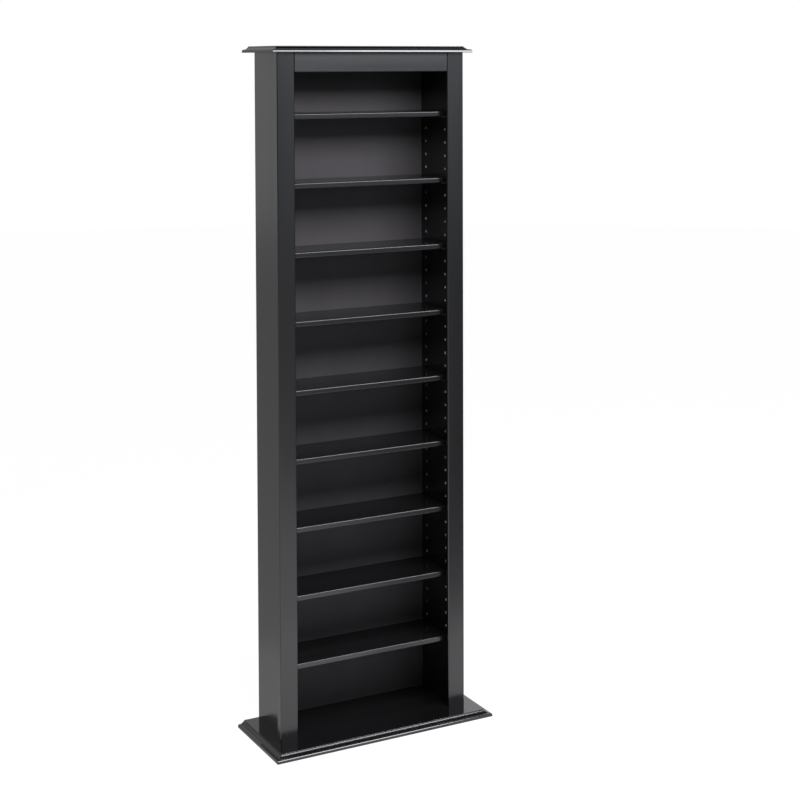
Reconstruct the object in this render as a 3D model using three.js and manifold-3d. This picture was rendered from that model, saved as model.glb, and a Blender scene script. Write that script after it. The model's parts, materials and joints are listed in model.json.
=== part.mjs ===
import * as THREE from 'three';
import { mergeVertices } from 'three/addons/utils/BufferGeometryUtils.js';
import Module from 'manifold-3d';

// A tall open storage tower for discs: two side panels, a face frame, a moulded top board,
// a moulded base board, a thin back panel and nine loose shelves on pins.
// Millimetres, +Z up, front towards -Y, origin under the middle of the base board.

const wasm = await Module();
wasm.setup();

// Boards and panels
const MOULDED_BOARD_THICKNESS = 15;
const SIDE_PANEL_THICKNESS = 16;
const SIDE_PANEL_HEIGHT = 1589;
const SIDE_PANEL_DEPTH = 148;
const INTERIOR_WIDTH = 424;
const BACK_PANEL_THICKNESS = 5;
const BACK_PANEL_SETBACK = 7;
const BACK_GROOVE_DEPTH = 6;
const FIT_GAP = 0.3;
const CUT_OVERRUN = 2;

// Face frame
const STILE_WIDTH = 44;
const STILE_THICKNESS = 19;
const STILE_INNER_OVERLAP = 13;
const RAIL_HEIGHT = 45;
const STILE_LIP_THICKNESS = 7;
const STILE_OUTER_ARRIS_RADIUS = 2.2;
const STILE_INNER_ARRIS_RADIUS = 1;
const RAIL_ARRIS_RADIUS = 1.5;
const ARRIS_SEGMENTS = 4;

// Moulded boards
const BASE_SIDE_OVERHANG = 39;
const BASE_FRONT_OVERHANG = 71;
const TOP_SIDE_OVERHANG = 17;
const TOP_FRONT_OVERHANG = 17;
const MOULDING_WIDTH = 16;
const MOULDING_ARRIS_RADIUS = 1.3;
const STEP_WIDTH = 0.8;
const STEP_HEIGHT = 2.2;
const COVE_TURN_INSET = 10.6;
const COVE_SEGMENTS = 6;
const NOSE_WIDTH = 6.8;
const NOSE_TOP_HEIGHT = 7.4;
const NOSE_FACE_HEIGHT = 5.2;
const NOSE_LEAN = 0.8;
const NOSE_SEGMENTS = 6;
const FOOT_RADIUS = 1.3;
const FOOT_SEGMENTS = 3;

// Shelves
const SHELF_THICKNESS = 12.5;
const SHELF_END_PLAY = 0.5;
const SHELF_FRONT_CLEARANCE = 3;
const SHELF_BACK_CLEARANCE = 1;
const SHELF_ARRIS_RADIUS = 2;

// Shelf-pin holes
const HOLE_PITCH = 32;
const HOLES_PER_SHELF = 5;
const HOLE_DIAMETER = 5;
const HOLE_DEPTH = 11;
const HOLE_SIDES = 8;
const LOWEST_HOLE_HEIGHT = 155.5;
const TOP_MARGIN_OF_HOLES = 141;
const FRONT_ROW_INSET = 16;
const REAR_ROW_INSET = 24;

// Shelf pins
const PIN_SHANK_LENGTH = 9;
const COLLAR_THICKNESS = 1.2;
const COLLAR_SIDES = 16;
const TONGUE_REACH = 9;
const TONGUE_RADIUS = 4;
const TONGUE_DROP = 0.5;
const TONGUE_SEGMENTS = 8;

// Top dowels
const DOWEL_DIAMETER = 8;
const DOWEL_REACH = 10;
const DOWEL_SIDES = 10;
const DOWEL_END_INSET = 34;

// Base screws
const SCREW_SHANK_DIAMETER = 4;
const SCREW_HEAD_DIAMETER = 8;
const SCREW_HEAD_HEIGHT = 2.5;
const SCREW_HEAD_RIM = 0.5;
const SCREW_HEAD_SINK = 0.5;
const SCREW_LENGTH = 42;
const SCREW_TIP_LENGTH = 5;
const SCREW_SIDES = 10;
const SCREW_END_INSET = 30;

// Widths, all measured from the middle plane x = 0
const INNER_FACE_X = INTERIOR_WIDTH / 2;
const OUTER_FACE_X = INNER_FACE_X + SIDE_PANEL_THICKNESS;
const STILE_INNER_X = INNER_FACE_X - STILE_INNER_OVERLAP;
const STILE_OUTER_X = STILE_INNER_X + STILE_WIDTH;
const PANEL_MIDDLE_X = INNER_FACE_X + SIDE_PANEL_THICKNESS / 2;
const SHELF_END_X = INNER_FACE_X - FIT_GAP - COLLAR_THICKNESS - SHELF_END_PLAY;
const BASE_HALF_WIDTH = STILE_OUTER_X + BASE_SIDE_OVERHANG;
const TOP_HALF_WIDTH = STILE_OUTER_X + TOP_SIDE_OVERHANG;

// Depths, the base board runs from -BASE_DEPTH / 2 to BASE_DEPTH / 2
const BASE_DEPTH = BASE_FRONT_OVERHANG + STILE_THICKNESS + SIDE_PANEL_DEPTH;
const BACK_Y = BASE_DEPTH / 2;
const BASE_FRONT_Y = -BASE_DEPTH / 2;
const STILE_FRONT_Y = BASE_FRONT_Y + BASE_FRONT_OVERHANG;
const PANEL_FRONT_Y = STILE_FRONT_Y + STILE_THICKNESS;
const TOP_FRONT_Y = STILE_FRONT_Y - TOP_FRONT_OVERHANG;
const BACK_PANEL_BACK_Y = BACK_Y - BACK_PANEL_SETBACK;
const BACK_PANEL_FRONT_Y = BACK_PANEL_BACK_Y - BACK_PANEL_THICKNESS;
const FRONT_ROW_Y = PANEL_FRONT_Y + FRONT_ROW_INSET;
const REAR_ROW_Y = BACK_PANEL_FRONT_Y - REAR_ROW_INSET;
const SHELF_FRONT_Y = PANEL_FRONT_Y + SHELF_FRONT_CLEARANCE;
const SHELF_BACK_Y = BACK_PANEL_FRONT_Y - SHELF_BACK_CLEARANCE;

// Heights
const DECK_Z = MOULDED_BOARD_THICKNESS;
const TOP_UNDERSIDE_Z = DECK_Z + SIDE_PANEL_HEIGHT;
const RAIL_BOTTOM_Z = TOP_UNDERSIDE_Z - RAIL_HEIGHT;
const LOWEST_HOLE_Z = DECK_Z + LOWEST_HOLE_HEIGHT;
const HOLES_SPAN = SIDE_PANEL_HEIGHT - LOWEST_HOLE_HEIGHT - TOP_MARGIN_OF_HOLES;
const HOLES_PER_ROW = Math.floor(HOLES_SPAN / HOLE_PITCH) + 1;
const SHELF_COUNT = Math.floor((HOLES_PER_ROW - 1) / HOLES_PER_SHELF) + 1;
const PIN_SHANK_RADIUS = HOLE_DIAMETER / 2 - FIT_GAP;

// Finishes
const LAMINATE = { color: 0x1d1d1f, roughness: 0.32, metalness: 0 };
const BACK_LAMINATE = { color: 0x1b1a1b, roughness: 0.45, metalness: 0 };
const PIN_STEEL = { color: 0x8d8f92, roughness: 0.35, metalness: 0.9 };
const SCREW_STEEL = { color: 0x6d6a60, roughness: 0.45, metalness: 0.9 };

const tower = new THREE.Group();

function toSolid(geometry) {
  const bare = geometry.clone();
  bare.deleteAttribute('normal');
  bare.deleteAttribute('uv');
  const merged = mergeVertices(bare);
  return new wasm.Manifold(new wasm.Mesh({
    numProp: 3,
    vertProperties: new Float32Array(merged.attributes.position.array),
    triVerts: new Uint32Array(merged.index.array),
  }));
}

function toGeometry(solid) {
  const mesh = solid.getMesh();
  const geometry = new THREE.BufferGeometry();
  geometry.setAttribute('position', new THREE.BufferAttribute(mesh.vertProperties, mesh.numProp));
  geometry.setIndex(new THREE.BufferAttribute(mesh.triVerts, 1));
  geometry.computeVertexNormals();
  return geometry;
}

function cutAway(geometry, cutters) {
  return toGeometry(cutters.reduce((solid, cutter) => solid.subtract(toSolid(cutter)), toSolid(geometry)));
}

function joinOn(geometry, pieces) {
  return toGeometry(pieces.reduce((solid, piece) => solid.add(toSolid(piece)), toSolid(geometry)));
}

// A box between two opposite corners
function block(low, high) {
  const size = high.map((value, axis) => value - low[axis]);
  const middle = high.map((value, axis) => (value + low[axis]) / 2);
  return new THREE.BoxGeometry(...size).translate(...middle);
}

// A round bar along X, from x0 to x1
function barAlongX(radius, sides, x0, x1, y, z) {
  const bar = new THREE.CylinderGeometry(radius, radius, x1 - x0, sides);
  return bar.rotateZ(Math.PI / 2).translate((x0 + x1) / 2, y, z);
}

// A round bar along Z, from z0 to z1
function barAlongZ(radius, sides, x, y, z0, z1) {
  const bar = new THREE.CylinderGeometry(radius, radius, z1 - z0, sides);
  return bar.rotateX(Math.PI / 2).translate(x, y, (z0 + z1) / 2);
}

function addPiece(name, geometry, finish) {
  const mesh = new THREE.Mesh(geometry, new THREE.MeshStandardMaterial(finish));
  mesh.name = name;
  tower.add(mesh);
  return mesh;
}

// Extrudes an outline drawn in the YZ plane along X, from x0 to x1
function extrudeAlongX(outline, x0, x1, segments) {
  const options = { depth: x1 - x0, bevelEnabled: false, curveSegments: segments };
  const bar = new THREE.ExtrudeGeometry(outline, options);
  return bar.rotateX(Math.PI / 2).rotateZ(Math.PI / 2).translate(x0, 0, 0);
}

// Extrudes an outline drawn in the XY plane along Z, from z0 to z1
function extrudeAlongZ(outline, z0, z1) {
  return new THREE.ExtrudeGeometry(outline, { depth: z1 - z0, bevelEnabled: false }).translate(0, 0, z0);
}

// Points on a quarter circle in a plane, anticlockwise, from the angle start
function quarterCircle(x, y, radius, start, segments) {
  return new THREE.EllipseCurve(x, y, radius, radius, start, start + Math.PI / 2, false).getPoints(segments);
}

// The moulded edge, from the flat top outwards and down to the flat underside: a rounded arris,
// a small step, a shallow cove, a rounded nose whose face leans back, and its small foot radius.
// Each point is [distance inwards from the outermost line, height above the underside].
function mouldingPoints() {
  const arris = quarterCircle(
    MOULDING_WIDTH + MOULDING_ARRIS_RADIUS, MOULDED_BOARD_THICKNESS - MOULDING_ARRIS_RADIUS,
    MOULDING_ARRIS_RADIUS, Math.PI / 2, ARRIS_SEGMENTS,
  );
  const cove = new THREE.QuadraticBezierCurve(
    new THREE.Vector2(MOULDING_WIDTH - STEP_WIDTH, MOULDED_BOARD_THICKNESS - STEP_HEIGHT),
    new THREE.Vector2(COVE_TURN_INSET, NOSE_TOP_HEIGHT),
    new THREE.Vector2(NOSE_WIDTH, NOSE_TOP_HEIGHT),
  );
  const faceLean = NOSE_LEAN / (NOSE_FACE_HEIGHT - FOOT_RADIUS);
  const nose = new THREE.QuadraticBezierCurve(
    new THREE.Vector2(NOSE_WIDTH, NOSE_TOP_HEIGHT),
    new THREE.Vector2(faceLean * (NOSE_TOP_HEIGHT - FOOT_RADIUS), NOSE_TOP_HEIGHT),
    new THREE.Vector2(NOSE_LEAN, NOSE_FACE_HEIGHT),
  );
  return [
    ...arris,
    new THREE.Vector2(MOULDING_WIDTH, MOULDED_BOARD_THICKNESS - STEP_HEIGHT),
    ...cove.getPoints(COVE_SEGMENTS),
    ...nose.getPoints(NOSE_SEGMENTS).slice(1),
    ...quarterCircle(FOOT_RADIUS, FOOT_RADIUS, FOOT_RADIUS, Math.PI, FOOT_SEGMENTS),
  ];
}

// A board moulded on its front and both sides, square at the back.
// It is what a bar with the side mouldings and a bar with the front moulding have in common.
function mouldedBoard(halfWidth, frontY) {
  const edge = mouldingPoints();
  const across = new THREE.Shape([
    ...edge.map((p) => new THREE.Vector2(-halfWidth + p.x, p.y)),
    ...edge.toReversed().map((p) => new THREE.Vector2(halfWidth - p.x, p.y)),
  ]);
  const along = new THREE.Shape([
    new THREE.Vector2(BACK_Y, MOULDED_BOARD_THICKNESS),
    ...edge.map((p) => new THREE.Vector2(frontY + p.x, p.y)),
    new THREE.Vector2(BACK_Y, 0),
  ]);
  const depth = BACK_Y - frontY + 2 * CUT_OVERRUN;
  const bySides = new THREE.ExtrudeGeometry(across, { depth, bevelEnabled: false })
    .rotateX(Math.PI / 2)
    .translate(0, BACK_Y + CUT_OVERRUN, 0);
  const byFront = extrudeAlongX(along, -halfWidth - CUT_OVERRUN, halfWidth + CUT_OVERRUN, 1);
  return toGeometry(toSolid(bySides).intersect(toSolid(byFront)));
}

// Where the two screws under each side panel and the two dowels on top of it stand
const SCREW_PLACES = [
  { end: 'front', y: PANEL_FRONT_Y + SCREW_END_INSET },
  { end: 'rear', y: BACK_Y - SCREW_END_INSET },
];
const DOWEL_PLACES = [PANEL_FRONT_Y + DOWEL_END_INSET, BACK_Y - DOWEL_END_INSET];
const SIDES = [
  { name: 'left', sign: -1 },
  { name: 'right', sign: 1 },
];

// A solid of revolution about Z, from points of [radius, height]
function turned(points, sides) {
  return new THREE.LatheGeometry(points.map(([r, z]) => new THREE.Vector2(r, z)), sides).rotateX(Math.PI / 2);
}

// Half of the screw's section about its axis, or of the hole that it passes, larger by the gap all round
function screwSection(headZ, gap) {
  const shank = SCREW_SHANK_DIAMETER / 2 + gap;
  const head = SCREW_HEAD_DIAMETER / 2 + gap;
  const topZ = SCREW_HEAD_SINK + SCREW_LENGTH + gap;
  return [
    [0, headZ],
    [head, headZ],
    [head, SCREW_HEAD_SINK + SCREW_HEAD_RIM],
    [shank, SCREW_HEAD_SINK + SCREW_HEAD_HEIGHT],
    [shank, topZ - SCREW_TIP_LENGTH],
    [0, topZ],
  ];
}

function screwHole(sign, y) {
  return turned(screwSection(-CUT_OVERRUN, FIT_GAP), SCREW_SIDES).translate(sign * PANEL_MIDDLE_X, y, 0);
}

function addBaseBoard() {
  const board = mouldedBoard(BASE_HALF_WIDTH, BASE_FRONT_Y);
  const holes = SIDES.flatMap(({ sign }) => SCREW_PLACES.map(({ y }) => screwHole(sign, y)));
  addPiece('base_board', cutAway(board, holes), LAMINATE);
}

function addTopBoard() {
  const board = mouldedBoard(TOP_HALF_WIDTH, TOP_FRONT_Y);
  const sockets = SIDES.flatMap(({ sign }) => DOWEL_PLACES.map((y) => barAlongZ(
    DOWEL_DIAMETER / 2 + FIT_GAP, DOWEL_SIDES, sign * PANEL_MIDDLE_X, y,
    -CUT_OVERRUN, DOWEL_REACH + FIT_GAP,
  )));
  addPiece('top_board', cutAway(board, sockets), LAMINATE).position.set(0, 0, TOP_UNDERSIDE_Z);
}

function rowHoles(sign, y) {
  const mouth = sign * (INNER_FACE_X - CUT_OVERRUN);
  const floor = sign * (INNER_FACE_X + HOLE_DEPTH);
  return Array.from({ length: HOLES_PER_ROW }, (_, index) => barAlongX(
    HOLE_DIAMETER / 2, HOLE_SIDES, Math.min(mouth, floor), Math.max(mouth, floor),
    y, LOWEST_HOLE_Z + index * HOLE_PITCH,
  ));
}

function addSidePanel({ name, sign }) {
  const faces = [sign * INNER_FACE_X, sign * OUTER_FACE_X];
  const panel = block(
    [Math.min(...faces), PANEL_FRONT_Y, DECK_Z],
    [Math.max(...faces), BACK_Y, TOP_UNDERSIDE_Z],
  );
  const grooveFaces = [sign * (INNER_FACE_X - CUT_OVERRUN), sign * (INNER_FACE_X + BACK_GROOVE_DEPTH)];
  const groove = block(
    [Math.min(...grooveFaces), BACK_PANEL_FRONT_Y - FIT_GAP, DECK_Z - CUT_OVERRUN],
    [Math.max(...grooveFaces), BACK_PANEL_BACK_Y + FIT_GAP, TOP_UNDERSIDE_Z + CUT_OVERRUN],
  );
  const pilots = SCREW_PLACES.map(({ y }) => screwHole(sign, y));
  const dowels = DOWEL_PLACES.map((y) => barAlongZ(
    DOWEL_DIAMETER / 2, DOWEL_SIDES, sign * PANEL_MIDDLE_X, y,
    TOP_UNDERSIDE_Z - CUT_OVERRUN, TOP_UNDERSIDE_Z + DOWEL_REACH,
  ));
  const holes = [...rowHoles(sign, FRONT_ROW_Y), ...rowHoles(sign, REAR_ROW_Y)];
  addPiece(`${name}_side_panel`, joinOn(cutAway(panel, [groove, ...pilots, ...holes]), dowels), LAMINATE);
}

// The section of the right stile, seen from above: its two front edges are rounded, the outer one more,
// and its inner lip, past the side panel's face, is thinned from behind so that the pins' front row shows
function stilePoints() {
  const innerArris = quarterCircle(
    STILE_INNER_X + STILE_INNER_ARRIS_RADIUS, STILE_FRONT_Y + STILE_INNER_ARRIS_RADIUS,
    STILE_INNER_ARRIS_RADIUS, Math.PI, ARRIS_SEGMENTS,
  );
  const outerArris = quarterCircle(
    STILE_OUTER_X - STILE_OUTER_ARRIS_RADIUS, STILE_FRONT_Y + STILE_OUTER_ARRIS_RADIUS,
    STILE_OUTER_ARRIS_RADIUS, 3 * Math.PI / 2, ARRIS_SEGMENTS,
  );
  return [
    ...innerArris,
    ...outerArris,
    new THREE.Vector2(STILE_OUTER_X, PANEL_FRONT_Y),
    new THREE.Vector2(INNER_FACE_X, PANEL_FRONT_Y),
    new THREE.Vector2(INNER_FACE_X, STILE_FRONT_Y + STILE_LIP_THICKNESS),
    new THREE.Vector2(STILE_INNER_X, STILE_FRONT_Y + STILE_LIP_THICKNESS),
  ];
}

function addStile({ name, sign }) {
  const section = new THREE.Shape(stilePoints().map((p) => new THREE.Vector2(sign * p.x, p.y)));
  addPiece(`${name}_stile`, extrudeAlongZ(section, DECK_Z, TOP_UNDERSIDE_Z), LAMINATE);
}

// The rail's section, seen from the side, with its lower front edge rounded
function addTopRail() {
  const radius = RAIL_ARRIS_RADIUS;
  const section = new THREE.Shape()
    .moveTo(STILE_FRONT_Y + radius, RAIL_BOTTOM_Z)
    .lineTo(PANEL_FRONT_Y, RAIL_BOTTOM_Z)
    .lineTo(PANEL_FRONT_Y, TOP_UNDERSIDE_Z)
    .lineTo(STILE_FRONT_Y, TOP_UNDERSIDE_Z)
    .absarc(STILE_FRONT_Y + radius, RAIL_BOTTOM_Z + radius, radius, Math.PI, 3 * Math.PI / 2, false);
  addPiece('top_rail', extrudeAlongX(section, -STILE_INNER_X, STILE_INNER_X, ARRIS_SEGMENTS), LAMINATE);
}

function addBackPanel() {
  const reach = INNER_FACE_X + BACK_GROOVE_DEPTH - FIT_GAP;
  addPiece('back_panel', block(
    [-reach, BACK_PANEL_FRONT_Y, DECK_Z],
    [reach, BACK_PANEL_BACK_Y, TOP_UNDERSIDE_Z],
  ), BACK_LAMINATE);
}

// Height of the pins of a shelf, shelf 1 being the top one
function pinHeight(shelf) {
  return LOWEST_HOLE_Z + (SHELF_COUNT - shelf) * HOLES_PER_SHELF * HOLE_PITCH;
}

// The shelf's section, seen from the side, with both front edges rounded
function shelfSection() {
  const radius = SHELF_ARRIS_RADIUS;
  return new THREE.Shape()
    .moveTo(SHELF_FRONT_Y + radius, 0)
    .lineTo(SHELF_BACK_Y, 0)
    .lineTo(SHELF_BACK_Y, SHELF_THICKNESS)
    .lineTo(SHELF_FRONT_Y + radius, SHELF_THICKNESS)
    .absarc(SHELF_FRONT_Y + radius, SHELF_THICKNESS - radius, radius, Math.PI / 2, Math.PI, false)
    .absarc(SHELF_FRONT_Y + radius, radius, radius, Math.PI, 3 * Math.PI / 2, false);
}

function addShelf(shelf) {
  const board = extrudeAlongX(shelfSection(), -SHELF_END_X, SHELF_END_X, ARRIS_SEGMENTS);
  const underside = pinHeight(shelf) - TONGUE_DROP + FIT_GAP;
  addPiece(`shelf_${shelf}`, board, LAMINATE).position.set(0, 0, underside);
}

// A pin: a round shank for the hole, a collar that stands against the panel and a half-round tongue
// with its flat side up, which carries the shelf.
// Its shank lies along X with the panel's face at x = 0 and the tongue towards +X.
function shelfPin() {
  const collarEnd = FIT_GAP + COLLAR_THICKNESS;
  const collarMiddle = FIT_GAP + COLLAR_THICKNESS / 2;
  const shank = barAlongX(PIN_SHANK_RADIUS, HOLE_SIDES, -PIN_SHANK_LENGTH, collarMiddle, 0, 0);
  const collar = barAlongX(TONGUE_RADIUS, COLLAR_SIDES, FIT_GAP, collarEnd, 0, 0);
  const halfDisc = new THREE.Shape()
    .moveTo(-TONGUE_RADIUS, -TONGUE_DROP)
    .absarc(0, -TONGUE_DROP, TONGUE_RADIUS, Math.PI, 2 * Math.PI, false);
  const tongue = extrudeAlongX(halfDisc, collarMiddle, TONGUE_REACH, TONGUE_SEGMENTS);
  return joinOn(collar, [shank, tongue]);
}

function addShelfPins(shelf) {
  const rows = [{ end: 'front', y: FRONT_ROW_Y }, { end: 'rear', y: REAR_ROW_Y }];
  for (const { name, sign } of SIDES) {
    for (const { end, y } of rows) {
      const pin = addPiece(`shelf_${shelf}_pin_${name}_${end}`, shelfPin(), PIN_STEEL);
      pin.rotation.z = sign > 0 ? Math.PI : 0;
      pin.position.set(sign * INNER_FACE_X, y, pinHeight(shelf));
    }
  }
}

function addBaseScrews() {
  for (const { name, sign } of SIDES) {
    for (const { end, y } of SCREW_PLACES) {
      const screw = turned(screwSection(SCREW_HEAD_SINK, 0), SCREW_SIDES);
      addPiece(`base_screw_${name}_${end}`, screw, SCREW_STEEL).position.set(sign * PANEL_MIDDLE_X, y, 0);
    }
  }
}

addBaseBoard();
addTopBoard();
SIDES.forEach(addSidePanel);
SIDES.forEach(addStile);
addTopRail();
addBackPanel();
for (let shelf = 1; shelf <= SHELF_COUNT; shelf += 1) {
  addShelf(shelf);
  addShelfPins(shelf);
}
addBaseScrews();

export default tower;
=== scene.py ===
"""A tall open storage tower for discs in black laminate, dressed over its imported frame.

Metres, +Z up, front towards -Y, origin on the floor under the middle of the base board.
Each piece is a surface worked out on a grid of points and takes its place from the frame.
"""
import json
import math

import bmesh
import bpy
import numpy as np
from mathutils import Matrix, Vector

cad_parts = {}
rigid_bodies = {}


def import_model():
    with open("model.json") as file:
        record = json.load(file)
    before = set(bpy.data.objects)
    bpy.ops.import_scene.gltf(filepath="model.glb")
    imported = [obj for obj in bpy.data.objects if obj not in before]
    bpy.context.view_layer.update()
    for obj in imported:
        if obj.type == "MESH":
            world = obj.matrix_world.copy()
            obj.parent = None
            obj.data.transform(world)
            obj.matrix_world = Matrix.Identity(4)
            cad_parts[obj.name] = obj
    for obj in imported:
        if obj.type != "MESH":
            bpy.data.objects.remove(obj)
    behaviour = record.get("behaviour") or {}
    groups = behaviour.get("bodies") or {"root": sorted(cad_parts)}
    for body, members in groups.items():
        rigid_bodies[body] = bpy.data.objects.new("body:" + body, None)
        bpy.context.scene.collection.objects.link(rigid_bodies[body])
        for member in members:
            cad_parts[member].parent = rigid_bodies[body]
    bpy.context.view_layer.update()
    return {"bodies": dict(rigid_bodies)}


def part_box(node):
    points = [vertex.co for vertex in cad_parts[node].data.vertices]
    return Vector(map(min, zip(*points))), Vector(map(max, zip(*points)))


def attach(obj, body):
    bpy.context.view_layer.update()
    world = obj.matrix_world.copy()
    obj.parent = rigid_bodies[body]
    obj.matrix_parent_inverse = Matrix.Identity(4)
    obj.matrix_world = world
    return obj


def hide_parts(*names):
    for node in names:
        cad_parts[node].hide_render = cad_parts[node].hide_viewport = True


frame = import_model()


def corners(node):
    """The lowest and highest corner of a node of the frame, as arrays."""
    low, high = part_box(node)
    return np.array(low), np.array(high)


# What the frame gives
SHELF_NAMES = sorted(body for body in frame["bodies"] if body != "cabinet")
SHELF_COUNT = len(SHELF_NAMES)
BASE_LOW, BASE_HIGH = corners("base_board")
TOP_LOW, TOP_HIGH = corners("top_board")
PANEL_LOW, PANEL_HIGH = corners("right_side_panel")
STILE_LOW, STILE_HIGH = corners("right_stile")
RAIL_LOW, RAIL_HIGH = corners("top_rail")
BACK_LOW, BACK_HIGH = corners("back_panel")
DECK_Z = BASE_HIGH[2]
UNDER_TOP_Z = TOP_LOW[2]

# Soft edges of the boards
LAMINATE_EDGE = 0.0004
EDGE_STEPS = 3
HOLD = 0.0003
WELD = 0.000002
SMOOTH_ANGLE = math.radians(32)
STILE_LIP = 0.007
STILE_OUTER_ARRIS = 0.0022
STILE_INNER_ARRIS = 0.0028
RAIL_ARRIS = 0.0015
FRAME_JOINT_EDGE = 0.0006
SHELF_ARRIS = 0.0024
ARRIS_STEPS = 8

# The moulding, measured inwards from its outermost line and up from the underside
MOULDING_WIDTH = 0.016
STEP_WIDTH = 0.0008
STEP_HEIGHT = 0.0022
STEP_ARRIS = 0.0009
COVE_TURN_INSET = 0.0094
NOSE_WIDTH = 0.0068
NOSE_TOP = 0.0074
NOSE_CHAMFER_INSET = 0.0026
NOSE_CHAMFER_FOOT = 0.0054
NOSE_EASE = 0.0008
NOSE_LEAN = 0.2
NOSE_FOOT = 0.0013
COVE_STEPS = 12
NOSE_STEPS = 6
FOOT_STEPS = 5
MITRE_SOFTNESS = 0.0007

# Shelf-pin holes in the side panels
HOLES_BETWEEN_SHELVES = 5
HOLE_RADIUS = 0.0025
HOLE_DEPTH = 0.011
HOLE_LIP = 0.0005
CELL_HALF_WIDTH = 0.014
CELL_SIDE_STEPS = 6
GROOVE_CLEARANCE = 0.0003

# Shelf pins
PIN_SIDES = 32
PIN_SHANK_RADIUS = 0.0022
PIN_COLLAR_RADIUS = 0.004
PIN_SOFTNESS = 0.0003
PIN_SHANK_INSIDE = 0.009
PIN_COLLAR_START = 0.0003
PIN_COLLAR_END = 0.0015
PIN_TONGUE_REACH = 0.009
PIN_TONGUE_FLAT = 0.0005

# Countersunk screws under the base board
SCREW_SIDES = 48
SCREW_SHANK_RADIUS = 0.002
SCREW_CORE_RADIUS = 0.0014
SCREW_HEAD_RIM = 0.0005
SCREW_HEAD_HEIGHT = 0.0025
SCREW_HEAD_RINGS = 12
SCREW_THREAD_START = 3 * SCREW_HEAD_HEIGHT
SCREW_THREAD_STEPS = 96
SCREW_RIDGE_SHARPNESS = 3
SCREW_TIP = 0.005
SCREW_PITCH = 0.0022
SCREW_RECESS_RADIUS = 0.0024
SCREW_RECESS_WIDTH = 0.0007
SCREW_RECESS_DEPTH = 0.0017


# Surfaces

ALONG_X = 0
ALONG_Z = 2


def grid_faces(rows, columns, closed):
    """The quads of a grid of points, row after row. closed joins the last column to the first."""
    row = np.arange(rows - 1)[:, None] * columns
    column = np.arange(columns if closed else columns - 1)[None, :]
    after = (column + 1) % columns
    quads = np.stack([row + column, row + after, row + columns + after, row + columns + column], -1)
    return quads.reshape(-1, 4).tolist()


def end_faces(rows, columns):
    """The two faces that close a grid at its first and its last row."""
    return [list(range(columns)), list(range((rows - 1) * columns, rows * columns))]


def quarter_turn(steps):
    """Angles from nothing to a quarter turn."""
    return np.linspace(0, math.pi / 2, steps + 1)


def piece(name, parts, finishes, body, nodes):
    """Joins the grids of one piece, welds the points that meet, turns every face outwards and puts
    the piece on its body in the place of its nodes. A part is (points, faces, finish number)."""
    starts = np.cumsum([0] + [len(points) for points, _, _ in parts])
    points = np.vstack([points for points, _, _ in parts])
    faces = [tuple(start + i for i in face) for start, (_, part, _) in zip(starts, parts) for face in part]
    numbers = [number for _, part, number in parts for _ in part]
    mesh = bpy.data.meshes.new(name)
    mesh.from_pydata(points.tolist(), [], faces)
    mesh.polygons.foreach_set("material_index", numbers)
    shell = bmesh.new()
    shell.from_mesh(mesh)
    bmesh.ops.remove_doubles(shell, verts=shell.verts, dist=WELD)
    bmesh.ops.dissolve_degenerate(shell, edges=shell.edges, dist=WELD)
    bmesh.ops.recalc_face_normals(shell, faces=shell.faces)
    shell.to_mesh(mesh)
    shell.free()
    mesh.polygons.foreach_set("use_smooth", [True] * len(mesh.polygons))
    mesh.set_sharp_from_angle(angle=SMOOTH_ANGLE)
    for finish in finishes:
        mesh.materials.append(finish)
    obj = bpy.data.objects.new(name, mesh)
    bpy.context.scene.collection.objects.link(obj)
    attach(obj, body)
    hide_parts(*nodes)


def rounded_rectangle(low, high, radii, steps, inset):
    """A rectangle drawn in by inset, each corner a quarter circle of its own radius less the inset,
    anticlockwise from the lower left corner, with a held point on the flat at each end of an arc."""
    signs = np.array([[-1, -1], [1, -1], [1, 1], [-1, 1]])
    starts = np.array([2, 3, 0, 1]) * math.pi / 2
    radius = np.maximum(np.array(radii) - inset, WELD)[:, None, None]
    corner = np.where(signs < 0, np.array(low) + inset, np.array(high) - inset)[:, None, :]
    angle = starts[:, None] + quarter_turn(steps)[None, :]
    out = np.stack([np.cos(angle), np.sin(angle)], -1)
    along = np.stack([-np.sin(angle), np.cos(angle)], -1)
    arcs = corner - signs[:, None, :] * radius + radius * out
    before = arcs[:, :1] - HOLD * along[:, :1]
    after = arcs[:, -1:] + HOLD * along[:, -1:]
    return np.concatenate([before, arcs, after], 1).reshape(-1, 2)


def bar(axis, low, high, radii, steps, end_softness):
    """A bar along an axis: its section is a rounded rectangle, and at both ends the section draws in
    along a quarter circle. low and high are the bar's corners."""
    others = [i for i in range(3) if i != axis]
    turn = quarter_turn(EDGE_STEPS)
    rise = end_softness * (1 - np.sin(turn))
    inset = end_softness * (1 - np.cos(turn))
    held = end_softness + HOLD
    middle = [low[axis] + held, high[axis] - held]
    places = np.concatenate([low[axis] + rise[::-1], middle, high[axis] - rise])
    insets = np.concatenate([inset[::-1], [0, 0], inset])
    sections = np.stack([rounded_rectangle(low[others], high[others], radii, steps, i) for i in insets])
    rows, columns = sections.shape[:2]
    points = np.empty((rows, columns, 3))
    points[..., axis] = places[:, None]
    points[..., others] = sections
    return points.reshape(-1, 3), grid_faces(rows, columns, True) + end_faces(rows, columns)


def arc(x, y, radius, start, steps):
    """A quarter circle, anticlockwise from start, which counts quarter turns, with a held point on the
    flat at each end."""
    angle = start * math.pi / 2 + quarter_turn(steps)
    out = np.stack([np.cos(angle), np.sin(angle)], -1)
    along = np.stack([-np.sin(angle), np.cos(angle)], -1)
    points = np.array([x, y]) + radius * out
    return np.vstack([points[:1] - HOLD * along[:1], points, points[-1:] + HOLD * along[-1:]])


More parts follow.
